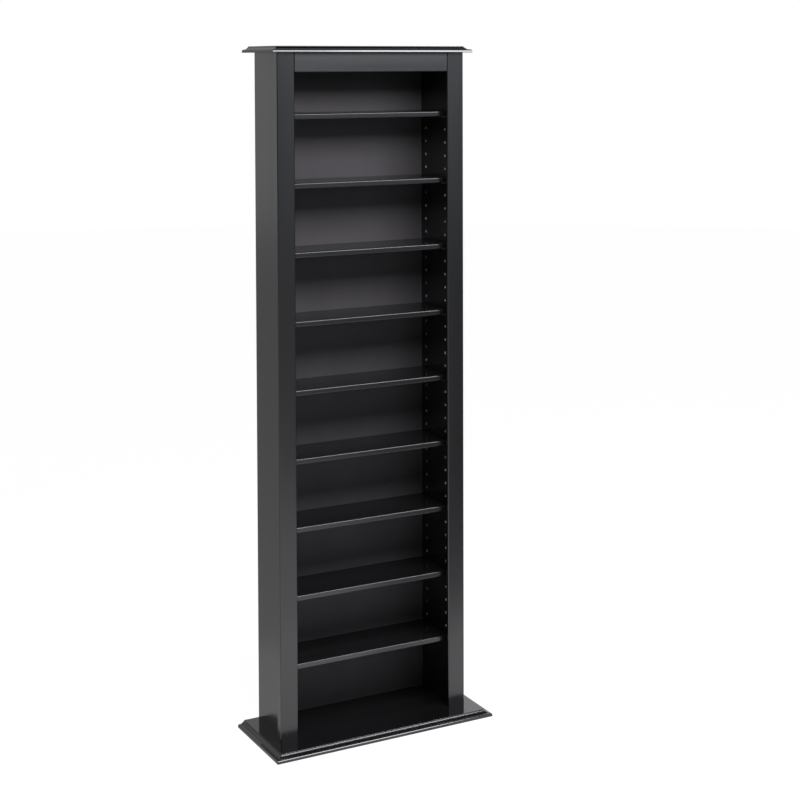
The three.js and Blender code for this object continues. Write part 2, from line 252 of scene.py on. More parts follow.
def stile(sign):
    """A stile: its outline from above, with two rounded front edges and an inner lip thinned from behind,
    carried straight up."""
    inner, outer = STILE_LOW[0], STILE_HIGH[0]
    front, back = STILE_LOW[1], STILE_HIGH[1]
    lip_back = front + STILE_LIP
    edge = LAMINATE_EDGE
    outline = np.vstack([
        arc(inner + STILE_INNER_ARRIS, front + STILE_INNER_ARRIS, STILE_INNER_ARRIS, 2, ARRIS_STEPS),
        arc(outer - STILE_OUTER_ARRIS, front + STILE_OUTER_ARRIS, STILE_OUTER_ARRIS, 3, ARRIS_STEPS),
        arc(outer - edge, back - edge, edge, 0, EDGE_STEPS),
        [[PANEL_LOW[0], back], [PANEL_LOW[0], lip_back]],
        arc(inner + edge, lip_back - edge, edge, 1, EDGE_STEPS),
    ])
    rows, columns = 2, len(outline)
    points = np.empty((rows, columns, 3))
    points[..., :2] = outline * [sign, 1]
    points[..., 2] = np.array([STILE_LOW[2], STILE_HIGH[2]])[:, None]
    return points.reshape(-1, 3), grid_faces(rows, columns, True) + end_faces(rows, columns)


def bend(start, control, end, steps):
    """Points on the quadratic curve that leaves start and reaches end aiming at control."""
    t = np.linspace(0, 1, steps + 1)[:, None]
    return (1 - t) ** 2 * np.array(start) + 2 * t * (1 - t) * np.array(control) + t ** 2 * np.array(end)


def moulding_profile(thickness):
    """The moulded edge from the flat top down to the flat underside: a rounded arris and a small step,
    a shallow cove on a quadratic curve, a nose whose chamfer is eased at both ends by quadratic curves and
    whose face leans back, and a foot on a quarter circle. Rows are (distance inwards, height)."""
    turn = quarter_turn(ARRIS_STEPS)
    arris = np.stack([MOULDING_WIDTH + STEP_ARRIS * (1 - np.sin(turn)),
                      thickness - STEP_ARRIS * (1 - np.cos(turn))], -1)
    cove = bend([MOULDING_WIDTH - STEP_WIDTH, thickness - STEP_HEIGHT], [COVE_TURN_INSET, NOSE_TOP],
                [NOSE_WIDTH, NOSE_TOP], COVE_STEPS)
    chamfer_top = np.array([NOSE_CHAMFER_INSET, NOSE_TOP])
    chamfer_foot = np.array([NOSE_LEAN * (NOSE_CHAMFER_FOOT - NOSE_FOOT), NOSE_CHAMFER_FOOT])
    eased = NOSE_EASE * (chamfer_foot - chamfer_top) / np.linalg.norm(chamfer_foot - chamfer_top)
    shoulder = bend(chamfer_top + [NOSE_EASE, 0], chamfer_top, chamfer_top + eased, NOSE_STEPS)
    brow = bend(chamfer_foot - eased, chamfer_foot, chamfer_foot - [NOSE_LEAN * NOSE_EASE, NOSE_EASE],
                NOSE_STEPS)
    turn = quarter_turn(FOOT_STEPS)
    foot = np.stack([NOSE_FOOT * (1 - np.cos(turn)), NOSE_FOOT * (1 - np.sin(turn))], -1)
    held = [[MOULDING_WIDTH + STEP_ARRIS + HOLD, thickness]]
    ledge = [[MOULDING_WIDTH, thickness - STEP_HEIGHT]]
    face = [[NOSE_LEAN * HOLD, NOSE_FOOT + HOLD]]
    under = [[NOSE_FOOT + HOLD, 0]]
    return np.vstack([held, arris, ledge, cove, shoulder, brow, face, foot, under])


def moulded_board(low, high):
    """A board whose moulding runs along the left side, the front and the right side and meets in soft
    mitres: each profile row is carried along a path with two rounded corners, drawn in by the row's
    distance inwards."""
    profile = moulding_profile(high[2] - low[2])
    turn = quarter_turn(EDGE_STEPS)
    inset = profile[:, :1]
    left = np.stack([low[0] + inset + MITRE_SOFTNESS * (1 - np.cos(turn)),
                     low[1] + inset + MITRE_SOFTNESS * (1 - np.sin(turn))], -1)
    back_left = np.stack([low[0] + inset, np.full_like(inset, high[1])], -1)
    held_left = np.stack([low[0] + inset, low[1] + inset + MITRE_SOFTNESS + HOLD], -1)
    held_front = np.stack([low[0] + inset + MITRE_SOFTNESS + HOLD, low[1] + inset], -1)
    half = np.concatenate([back_left, held_left, left, held_front], 1)
    mirrored = half[:, ::-1] * [-1, 1] + [low[0] + high[0], 0]
    path = np.concatenate([half, mirrored], 1)
    rows, columns = path.shape[:2]
    height = np.broadcast_to(low[2] + profile[:, 1:], (rows, columns))
    points = np.concatenate([path, height[..., None]], -1)
    index = np.arange(rows * columns).reshape(rows, columns)
    faces = grid_faces(rows, columns, False)
    faces += [index[0].tolist(), index[-1].tolist()]
    faces.append(index[:, 0].tolist() + index[::-1, -1].tolist())
    return points.reshape(-1, 3), faces


def side_panel(sign):
    """A side panel seen from above as a closed outline with the back panel's groove, carried upwards, its
    inner face a grid whose cells round the shelf-pin holes are left out, and in each such cell rings that
    turn from the cell's rectangle into a circle and go on as the hole's lip, wall and floor."""
    inner, outer = PANEL_LOW[0], PANEL_HIGH[0]
    front, back = PANEL_LOW[1], PANEL_HIGH[1]
    groove_bottom = BACK_HIGH[0] + GROOVE_CLEARANCE
    groove_front = BACK_LOW[1] - GROOVE_CLEARANCE
    groove_back = BACK_HIGH[1] + GROOVE_CLEARANCE
    row_y, hole_z, pitch = pin_places()
    across = np.linspace(-CELL_HALF_WIDTH, CELL_HALF_WIDTH, CELL_SIDE_STEPS + 1)
    inner_y = np.concatenate([[front], row_y[0] + across, row_y[1] + across, [groove_front]])
    turn = quarter_turn(EDGE_STEPS)
    soft = LAMINATE_EDGE
    rear_inner = np.stack([inner + soft * (1 - np.cos(turn)), back - soft * (1 - np.sin(turn))], -1)
    rear_outer = np.stack([outer - soft * (1 - np.sin(turn)), back - soft * (1 - np.cos(turn))], -1)
    outline = np.vstack([
        np.stack([np.full_like(inner_y, inner), inner_y], -1),
        [[groove_bottom, groove_front], [groove_bottom, groove_back], [inner, groove_back]],
        [[inner, back - soft - HOLD]],
        rear_inner,
        [[inner + soft + HOLD, back], [outer - soft - HOLD, back]],
        rear_outer,
        [[outer, back - soft - HOLD], [outer, front]],
    ])
    first = hole_z[0] - pitch / 2
    steps = len(hole_z) * CELL_SIDE_STEPS
    z = np.concatenate([[DECK_Z], first + np.arange(steps + 1) * pitch / CELL_SIDE_STEPS, [UNDER_TOP_Z]])
    rows, columns = len(z), len(outline)
    points = np.empty((rows, columns, 3))
    points[..., :2] = outline
    points[..., 2] = z[:, None]
    walls = np.array(grid_faces(rows, columns, True)).reshape(rows - 1, columns, 4)
    kept = np.ones((rows - 1, columns), bool)
    for cell in range(len(row_y)):
        start = 1 + cell * (CELL_SIDE_STEPS + 1)
        kept[1:-1, start:start + CELL_SIDE_STEPS] = False
    faces = walls[kept].tolist() + end_faces(rows, columns)
    cells, cell_faces, hole_faces = hole_cells(inner, row_y, hole_z, pitch)
    parts = [(points.reshape(-1, 3), faces, 0), (cells, cell_faces, 0), (cells, hole_faces, 1)]
    return [(part * [sign, 1, 1], part_faces, number) for part, part_faces, number in parts]


def pin_places():
    """Where the two rows of holes stand, the heights of the holes in a row, and their pitch, taken from
    the pins: a pin's axis lies one collar radius below its top."""
    row_y = []
    for end in ("front", "rear"):
        low, high = corners(f"shelf_{SHELF_COUNT}_pin_right_{end}")
        row_y.append((low[1] + high[1]) / 2)
    lowest, highest = (corners(f"shelf_{shelf}_pin_right_front")[1][2] - PIN_COLLAR_RADIUS
                       for shelf in (SHELF_COUNT, 1))
    count = (SHELF_COUNT - 1) * HOLES_BETWEEN_SHELVES + 1
    hole_z = np.linspace(lowest, highest, count)
    return row_y, hole_z, hole_z[1] - hole_z[0]


def hole_cells(face_x, row_y, hole_z, pitch):
    """The cells round the holes, all at once: ring 0 is the cell's rectangle, then come the lip, where the
    film is broken away, the mouth, the foot of the wall and the middle of the floor, down to one point."""
    sides = 4 * CELL_SIDE_STEPS
    t = np.arange(CELL_SIDE_STEPS) / CELL_SIDE_STEPS * 2 - 1
    one = np.ones_like(t)
    square = np.concatenate([np.stack(pair, -1) for pair in ((t, -one), (one, t), (-t, one), (-one, -t))])
    angle = -3 * math.pi / 4 + np.arange(sides) * 2 * math.pi / sides
    circle = np.stack([np.cos(angle), np.sin(angle)], -1)
    rings = np.stack([
        square * [CELL_HALF_WIDTH, pitch / 2],
        circle * (HOLE_RADIUS + HOLE_LIP),
        circle * HOLE_RADIUS,
        circle * HOLE_RADIUS,
        circle * 0,
    ])
    depth = np.array([0, 0, HOLE_LIP, HOLE_DEPTH, HOLE_DEPTH])
    ring_count = len(rings)
    y, z = np.meshgrid(row_y, hole_z, indexing="ij")
    centres = np.stack([y.ravel(), z.ravel()], -1)
    points = np.empty((len(centres), ring_count, sides, 3))
    points[..., 0] = (face_x + depth)[None, :, None]
    points[..., 1:] = centres[:, None, None, :] + rings[None]
    template = np.array(grid_faces(ring_count, sides, True)).reshape(ring_count - 1, sides, 4)
    offsets = (np.arange(len(centres)) * ring_count * sides)[:, None, None, None]
    faces = template[None] + offsets
    skin = faces[:, :1].reshape(-1, 4).tolist()
    raw = faces[:, 1:].reshape(-1, 4).tolist()
    return points.reshape(-1, 3), skin, raw


def shelf_pin(sign, y, z):
    """A pin: circles along X make the shank and the collar, then the same circles pressed flat from above
    make the tongue, whose tip is drawn in. Rows are (distance from the panel's face, radius, height above
    which the section is pressed flat)."""
    soft = PIN_SOFTNESS
    uncut = PIN_COLLAR_RADIUS
    flat = -PIN_TONGUE_FLAT
    tongue = PIN_COLLAR_RADIUS - soft / 2
    rows = np.array([
        [-PIN_SHANK_INSIDE, 0, uncut],
        [-PIN_SHANK_INSIDE, PIN_SHANK_RADIUS - soft, uncut],
        [soft - PIN_SHANK_INSIDE, PIN_SHANK_RADIUS, uncut],
        [PIN_COLLAR_START, PIN_SHANK_RADIUS, uncut],
        [PIN_COLLAR_START, PIN_COLLAR_RADIUS - soft, uncut],
        [PIN_COLLAR_START + soft, PIN_COLLAR_RADIUS, uncut],
        [PIN_COLLAR_END - soft, PIN_COLLAR_RADIUS, uncut],
        [PIN_COLLAR_END, PIN_COLLAR_RADIUS - soft, uncut],
        [PIN_COLLAR_END, tongue, flat],
        [PIN_TONGUE_REACH - 2 * soft, tongue, flat],
        [PIN_TONGUE_REACH - soft, tongue - soft / 2, flat],
        [PIN_TONGUE_REACH, tongue - 2 * soft, flat - soft],
        [PIN_TONGUE_REACH, 0, flat - 2 * soft],
    ])
    angle = np.arange(PIN_SIDES) * 2 * math.pi / PIN_SIDES
    points = np.empty((len(rows), PIN_SIDES, 3))
    points[..., 0] = sign * (PANEL_LOW[0] - rows[:, :1])
    points[..., 1] = y + rows[:, 1:2] * np.cos(angle)
    points[..., 2] = z + np.minimum(rows[:, 1:2] * np.sin(angle), rows[:, 2:])
    return points.reshape(-1, 3), grid_faces(len(rows), PIN_SIDES, True)


def screw(x, y, low_z, high_z):
    """A countersunk screw standing head down. The recess is a cross pressed into the head. Above the cone
    and a plain length a helical ridge runs round the core: radius = core + ridge height times the cube of
    a wave of (height / pitch - turn), and all of it draws in towards the tip."""
    angle = np.arange(SCREW_SIDES) * 2 * math.pi / SCREW_SIDES
    head = corners("base_screw_right_front")
    head_radius = (head[1][0] - head[0][0]) / 2
    ring = np.linspace(0, head_radius, SCREW_HEAD_RINGS + 1)[:, None]
    across = np.abs(ring * np.cos(angle))
    along = np.abs(ring * np.sin(angle))
    arm = np.clip((SCREW_RECESS_WIDTH - np.minimum(across, along)) / SCREW_HEAD_RIM, 0, 1)
    reach = np.clip((SCREW_RECESS_RADIUS - np.maximum(across, along)) / SCREW_HEAD_RIM, 0, 1)
    face_z = low_z + SCREW_RECESS_DEPTH * arm * reach
    rise = np.linspace(low_z + SCREW_THREAD_START, high_z, SCREW_THREAD_STEPS + 1)[:, None]
    taper = np.clip((high_z - rise) / SCREW_TIP, 0, 1)
    wave = 0.5 + 0.5 * np.cos(2 * math.pi * rise / SCREW_PITCH - angle)
    ridge = (SCREW_SHANK_RADIUS - SCREW_CORE_RADIUS) * wave ** SCREW_RIDGE_SHARPNESS
    thread = (SCREW_CORE_RADIUS + ridge) * taper
    plain = np.array([
        [head_radius, SCREW_HEAD_RIM],
        [SCREW_SHANK_RADIUS, SCREW_HEAD_HEIGHT],
        [SCREW_SHANK_RADIUS, SCREW_THREAD_START - SCREW_HEAD_RIM],
    ])
    whole = np.ones_like(angle)
    radius = np.vstack([ring * whole, plain[:, :1] * whole, thread])
    height = np.vstack([face_z, low_z + plain[:, 1:] * whole, rise * whole])
    points = np.stack([x + radius * np.cos(angle), y + radius * np.sin(angle), height], -1)
    return points.reshape(-1, 3), grid_faces(len(radius), SCREW_SIDES, True)


# Finishes

def cleared(owner):
    """The node tree of a finish or of the world, emptied."""
    owner.use_nodes = True
    owner.node_tree.nodes.clear()
    return owner.node_tree


def node(tree, kind, **inputs):
    """A node of a finish, with the inputs that are the same all over the surface."""
    made = tree.nodes.new(kind)
    for name, value in inputs.items():
        made.inputs[name.replace("_", " ")].default_value = value
    return made


def new_finish(name):
    """An empty finish: its node tree, its surface shader and the object's own coordinates."""
    finish = bpy.data.materials.new(name)
    tree = cleared(finish)
    shader = node(tree, "ShaderNodeBsdfPrincipled")
    out = node(tree, "ShaderNodeOutputMaterial")
    place = node(tree, "ShaderNodeTexCoord")
    tree.links.new(shader.outputs["BSDF"], out.inputs["Surface"])
    return finish, tree, shader, place.outputs["Object"]


def noise(tree, place, stretch, scale, detail, seed):
    """Noise of that scale, per metre, stretched along each axis."""
    mapping = node(tree, "ShaderNodeMapping", Scale=stretch, Location=(seed, seed, seed))
    made = node(tree, "ShaderNodeTexNoise", Scale=scale, Detail=detail)
    tree.links.new(place, mapping.inputs["Vector"])
    tree.links.new(mapping.outputs["Vector"], made.inputs["Vector"])
    return made.outputs["Fac"]


def ranged(tree, value, **limits):
    """The value carried from one range to another and held inside it."""
    made = node(tree, "ShaderNodeMapRange", **limits)
    tree.links.new(value, made.inputs["Value"])
    return made.outputs["Result"]


def spread(tree, value, low, high):
    """The middle range of a noise spread from low to high."""
    return ranged(tree, value, From_Min=NOISE_LOW, From_Max=NOISE_HIGH, To_Min=low, To_Max=high)


def blended(tree, value, first, second):
    """A colour between two, by value."""
    made = tree.nodes.new("ShaderNodeMix")
    made.data_type = "RGBA"
    made.inputs["A"].default_value = (*first, 1)
    made.inputs["B"].default_value = (*second, 1)
    tree.links.new(spread(tree, value, 0, 1), made.inputs["Factor"])
    return made.outputs["Result"]


def ramp(tree, value, stops):
    """The colour at the value on a ramp through the stops, each a position and a colour."""
    made = tree.nodes.new("ShaderNodeValToRGB")
    elements = made.color_ramp.elements
    while len(elements) < len(stops):
        elements.new(0.5)
    for element, (position, colour) in zip(elements, stops):
        element.position = position
        element.color = (*colour, 1)
    tree.links.new(value, made.inputs["Fac"])
    return made.outputs["Color"]


def grey(stops):
    """Stops of (position, level) as stops of (position, colour)."""
    return [(position, (level,) * 3) for position, level in stops]


def worked(tree, kind, operation, *values):
    """A node that works one operation on the values, in their order."""
    made = tree.nodes.new(kind)
    made.operation = operation
    for socket, value in zip(made.inputs, values):
        tree.links.new(value, socket)
    return made


def turn_round(tree, place):
    """The part of a turn, from -X by way of the front, at which a place or a direction lies."""
    made = tree.nodes.new("ShaderNodeTexGradient")
    made.gradient_type = "RADIAL"
    tree.links.new(place, made.inputs["Vector"])
    return made.outputs["Fac"]


def bumps(tree, shader, layers):
    """Relief from several height values, each with its depth in metres, laid one on the other."""
    normal = None
    for height, depth in layers:
        made = node(tree, "ShaderNodeBump", Strength=1.0, Distance=depth)
        tree.links.new(height, made.inputs["Height"])
        if normal:
            tree.links.new(normal, made.inputs["Normal"])
        normal = made.outputs["Normal"]
    tree.links.new(normal, shader.inputs["Normal"])


# Most of a noise lies between these two values
NOISE_LOW = 0.3
NOISE_HIGH = 0.7

# Noises, each (scale per metre, detail), how they are stretched, their depths in metres, and the colours,
# the roughness and the parts of a roughness between which a finish varies
EVEN = (1, 1, 1)
GRAIN_STRETCH = 0.06
GRAIN = {"x": (GRAIN_STRETCH, 1, 1), "z": (1, 1, GRAIN_STRETCH)}
FILM_GRAIN = (420, 3)
FILM_PEEL = (160, 2)
FILM_WAVE = (9, 1)
FILM_CLOUD = (24, 3)
FILM_GRAIN_DEPTH = 0.0000015
FILM_PEEL_DEPTH = 0.000002
FILM_WAVE_DEPTH = 0.000015
FILM_ROUGHNESS_PARTS = (0.88, 1.12)
FILM_IOR = 1.85
BACK_FINE = (700, 4)
BACK_CLOUD = (14, 3)
BACK_CLOUD_STRETCH = (1, 1, 0.4)
BACK_FINE_DEPTH = 0.000012
BACK_DARK = (0.091, 0.085, 0.089)
BACK_LIGHT = (0.105, 0.098, 0.103)
BACK_ROUGHNESS = (0.5, 0.62)
BACK_SPECULAR = 0.3
CHIPS = (900, 4)
CHIP_STRETCH = (1, 1, 2)
CHIP_DEPTH = 0.00012
CHIP_DARK = (0.74, 0.63, 0.50)
CHIP_LIGHT = (0.93, 0.87, 0.76)
CHIP_ROUGHNESS = 0.85
METAL_MARKS = (500, 3)
METAL_MARK_STRETCH = (12, 1, 1)
METAL_MARK_DEPTH = 0.000006
METAL_TARNISH = (300, 3)
METAL_ROUGHNESS_PARTS = (0.8, 1.2)


def laminate(name, grain, dark, light, roughness, relief, seed):
    """Black satin film on board: fine grain along the board, a slight peel and a slow waviness that
    shows in reflections, and a roughness that changes a little from place to place."""
    finish, tree, shader, place = new_finish(name)
    grain_value = noise(tree, place, GRAIN[grain], *FILM_GRAIN, seed)
    peel = noise(tree, place, EVEN, *FILM_PEEL, seed)
    wave = noise(tree, place, EVEN, *FILM_WAVE, seed)
    cloud = noise(tree, place, GRAIN[grain], *FILM_CLOUD, seed + 1)
    limits = [roughness * part for part in FILM_ROUGHNESS_PARTS]
    tree.links.new(blended(tree, cloud, dark, light), shader.inputs["Base Color"])
    tree.links.new(spread(tree, cloud, *limits), shader.inputs["Roughness"])
    shader.inputs["IOR"].default_value = FILM_IOR
    bumps(tree, shader, [(wave, FILM_WAVE_DEPTH * relief), (peel, FILM_PEEL_DEPTH * relief),
                         (grain_value, FILM_GRAIN_DEPTH * relief)])
    return finish


def back_film(name):
    """The thin back panel's matt film, a little lighter and warmer than the laminate."""
    finish, tree, shader, place = new_finish(name)
    fine = noise(tree, place, EVEN, *BACK_FINE, seed=3)
    cloud = noise(tree, place, BACK_CLOUD_STRETCH, *BACK_CLOUD, seed=5)
    tree.links.new(blended(tree, cloud, BACK_DARK, BACK_LIGHT), shader.inputs["Base Color"])
    tree.links.new(spread(tree, fine, *BACK_ROUGHNESS), shader.inputs["Roughness"])
    shader.inputs["Specular IOR Level"].default_value = BACK_SPECULAR
    bumps(tree, shader, [(fine, BACK_FINE_DEPTH)])
    return finish


def raw_board(name):
    """Pressed wood chips, cut through, as the drilled holes show them."""
    finish, tree, shader, place = new_finish(name)
    chips = noise(tree, place, CHIP_STRETCH, *CHIPS, seed=2)
    tree.links.new(blended(tree, chips, CHIP_DARK, CHIP_LIGHT), shader.inputs["Base Color"])
    shader.inputs["Roughness"].default_value = CHIP_ROUGHNESS
    bumps(tree, shader, [(chips, CHIP_DEPTH)])
    return finish


def metal(name, dark, light, roughness):
    """Plated steel with fine turning marks and slight tarnish."""
    finish, tree, shader, place = new_finish(name)
    marks = noise(tree, place, METAL_MARK_STRETCH, *METAL_MARKS, seed=7)
    tarnish = noise(tree, place, EVEN, *METAL_TARNISH, seed=9)
    limits = [roughness * part for part in METAL_ROUGHNESS_PARTS]
    tree.links.new(blended(tree, tarnish, dark, light), shader.inputs["Base Color"])
    tree.links.new(spread(tree, marks, *limits), shader.inputs["Roughness"])
    shader.inputs["Metallic"].default_value = 1.0
    bumps(tree, shader, [(marks, METAL_MARK_DEPTH)])
    return finish


BLACK = (0.0085, 0.0086, 0.0092)
SOFT_BLACK = (0.0120, 0.0121, 0.0128)
UPRIGHT = laminate("laminate_upright", "z", BLACK, SOFT_BLACK, roughness=0.20, relief=1.0, seed=1)
LEVEL = laminate("laminate_level", "x", BLACK, SOFT_BLACK, roughness=0.13, relief=0.1, seed=4)
RAIL_FILM = laminate("laminate_rail", "x", BLACK, SOFT_BLACK, roughness=0.28, relief=0.6, seed=6)
SHELF_FILM = laminate("laminate_shelf", "x", BLACK, SOFT_BLACK, roughness=0.20, relief=0.2, seed=8)
BACK_FILM = back_film("back_film")
RAW_BOARD = raw_board("raw_board")
PIN_METAL = metal("pin_plating", (0.10, 0.10, 0.11), (0.18, 0.18, 0.19), roughness=0.35)
SCREW_METAL = metal("screw_plating", (0.34, 0.31, 0.24), (0.50, 0.46, 0.36), roughness=0.4)


# Pieces

def make_boards():
    """The base board and the top board, moulded on three sides."""
    for name, low, high in (("base_board", BASE_LOW, BASE_HIGH), ("top_board", TOP_LOW, TOP_HIGH)):
        parts = [(*moulded_board(low, high), 0)]
        piece(f"{name}_moulded", parts, [LEVEL], "cabinet", [name])


def make_uprights():
    """The drilled side panels and the stiles, worked out for the right side and mirrored for the left."""
    for side, sign in (("left", -1), ("right", 1)):
        piece(f"{side}_side_panel_drilled", side_panel(sign), [UPRIGHT, RAW_BOARD],
              "cabinet", [f"{side}_side_panel"])
        parts = [(*stile(sign), 0)]
        piece(f"{side}_stile_rounded", parts, [UPRIGHT], "cabinet", [f"{side}_stile"])


def make_rail_and_back():
    """The top rail, its lower front edge rounded, and the thin back panel."""
    edge = LAMINATE_EDGE
    radii = (RAIL_ARRIS, edge, edge, edge)
    parts = [(*bar(ALONG_X, RAIL_LOW, RAIL_HIGH, radii, ARRIS_STEPS, FRAME_JOINT_EDGE), 0)]
    piece("top_rail_rounded", parts, [RAIL_FILM], "cabinet", ["top_rail"])
    radii = (edge, edge, edge, edge)
    parts = [(*bar(ALONG_Z, BACK_LOW, BACK_HIGH, radii, EDGE_STEPS, edge), 0)]
    piece("back_panel_filmed", parts, [BACK_FILM], "cabinet", ["back_panel"])


def make_shelves():
    """The shelves, both front edges rounded, each on its own body, and their pins, which stay behind on the
    cabinet when a shelf lifts."""
    edge = LAMINATE_EDGE
    radii = (SHELF_ARRIS, edge, edge, SHELF_ARRIS)
    row_y, hole_z, _ = pin_places()
    for shelf in range(1, SHELF_COUNT + 1):
        board = f"shelf_{shelf}"
        low, high = corners(board)
        parts = [(*bar(ALONG_X, low, high, radii, ARRIS_STEPS, edge), 0)]
        piece(f"{board}_board", parts, [SHELF_FILM], board, [board])
        z = hole_z[(SHELF_COUNT - shelf) * HOLES_BETWEEN_SHELVES]
        for side, sign in (("left", -1), ("right", 1)):
            for end, y in zip(("front", "rear"), row_y):
                name = f"{board}_pin_{side}_{end}"
                parts = [(*shelf_pin(sign, y, z), 0)]
                piece(f"{name}_plated", parts, [PIN_METAL], "cabinet", [name])


def make_screws():
    """The four screws that hold the base board to the side panels."""
    for side in ("left", "right"):
        for end in ("front", "rear"):
            name = f"base_screw_{side}_{end}"
            low, high = corners(name)
            x, y = (low[:2] + high[:2]) / 2
            parts = [(*screw(x, y, low[2], high[2]), 0)]
            piece(f"{name}_threaded", parts, [SCREW_METAL], "cabinet", [name])


# Studio

CAMERA_PLACE = (-1.7105, -3.4529, 1.5807)
CAMERA_YAW = 0.5023
CAMERA_PITCH = -0.0394
CAMERA_ROLL = 0.0025
CAMERA_SENSOR = 36
CAMERA_LENS = 73.33
CAMERA_SHIFT = (-0.0411, -0.3419)
FLOOR_RADIUS = 12.0
FLOOR_RINGS = 24
FLOOR_SIDES = 96

# The floor's paper. SEEN is what the camera gets of its matt colour and of its glow. For all else the matt
# colour is the curve SHADE_ROUND, a painted shade: darker in one sector of the turn round the tower, so
# that reflections and bounced light from there come out darker. In reflections the paper also glows, though
# it is no
# lamp, as a painted reflection: the greatest of three: a pool of painted light, GLOW_NEAR at the distance
# POOL[0] and nothing at POOL[1]; the curve ACROSS, from -REACH to REACH along X; and a far glow, nothing at
# the distance
# FAR[0] and GLOW_FAR at FAR[1], times the curve FAR_ROUND. The stops of a curve are (part of the way,
# level), and for ROUND (part of a turn from -X by way of the front, level)
PAPER_SHADE_ROUND = ((0.314, 0.7), (0.336, 0.14), (0.346, 0.14), (0.372, 0.7))
PAPER_SHADE_SEEN = 0.16
PAPER_GLOW_SEEN = 0.985
PAPER_GLOW_NEAR = 0.4
PAPER_GLOW_FAR = 0.19
PAPER_POOL = (0.7, 1.1)
PAPER_FAR = (2.2, 4.0)
PAPER_FAR_ROUND = ((0.312, 1.0), (0.33, 0.4))
PAPER_REACH = 1.5
PAPER_ACROSS = ((0.4, 0.3), (0.57, 0.13), (0.66, 0.13), (0.8, 0.0))

# The backdrop that reflections see, as glows. Each has stops of (part of a turn from -X by way of the
# front, level) and stops of (degrees of elevation, level), and is their product
FRONT_GLOW = (
    ((0.19, 0.0), (0.23, 0.55), (0.27, 1.0), (0.38, 1.0), (0.41, 0.0)),
    ((-9, 0.30), (2, 0.35), (6, 1.5), (16, 1.5), (19, 0.55), (30, 0.5), (34, 0.0)),
)
BACK_GLOW = (
    ((0.50, 0.0), (0.60, 1.0), (0.64, 1.9), (0.667, 1.9), (0.68, 1.0), (0.74, 0.8),
     (0.80, 0.9), (0.88, 0.9), (0.95, 0.5), (1.0, 0.0)),
    ((-9, 0.62), (3, 0.60), (6, 0.5), (23, 0.5), (50, 0.2), (60, 0.0)),
)
FRONT_TINT = (0.93, 0.98, 1.06)
BACK_TINT = (1.01, 0.99, 1.01)
FILL_SHARE = 0.2

# Softboxes: place, the point that each faces, size and brightness
SOFTBOXES = {
    "key": ((-0.2, -1.25, 2.05), (-0.2, -1.2, 0.0), (1.2, 1.0), 4.2),
    "edge": ((0.9, -1.25, 2.05), (0.9, -1.2, 0.0), (1.0, 0.9), 6.8),
}
LAMP_TINT = (0.98, 0.98, 1.03)
LAMP_POWER = 4


def make_camera():
    """The camera looks along yaw, from +Y towards +X, and pitch, and is rolled about its line of sight."""
    yaw, pitch, roll = CAMERA_YAW, CAMERA_PITCH, CAMERA_ROLL
    forward = Vector((math.sin(yaw) * math.cos(pitch), math.cos(yaw) * math.cos(pitch), math.sin(pitch)))
    level = Vector((math.cos(yaw), -math.sin(yaw), 0))
    down = forward.cross(level)
    right = math.cos(roll) * level + math.sin(roll) * down
    up = math.sin(roll) * level - math.cos(roll) * down
    camera = bpy.data.objects.new("camera", bpy.data.cameras.new("camera"))
    bpy.context.scene.collection.objects.link(camera)
    turn = Matrix((right, up, -forward)).transposed().to_4x4()
    camera.matrix_world = Matrix.Translation(CAMERA_PLACE) @ turn
    camera.data.sensor_width = CAMERA_SENSOR
    camera.data.lens = CAMERA_LENS
    camera.data.shift_x, camera.data.shift_y = CAMERA_SHIFT
    bpy.context.scene.camera = camera


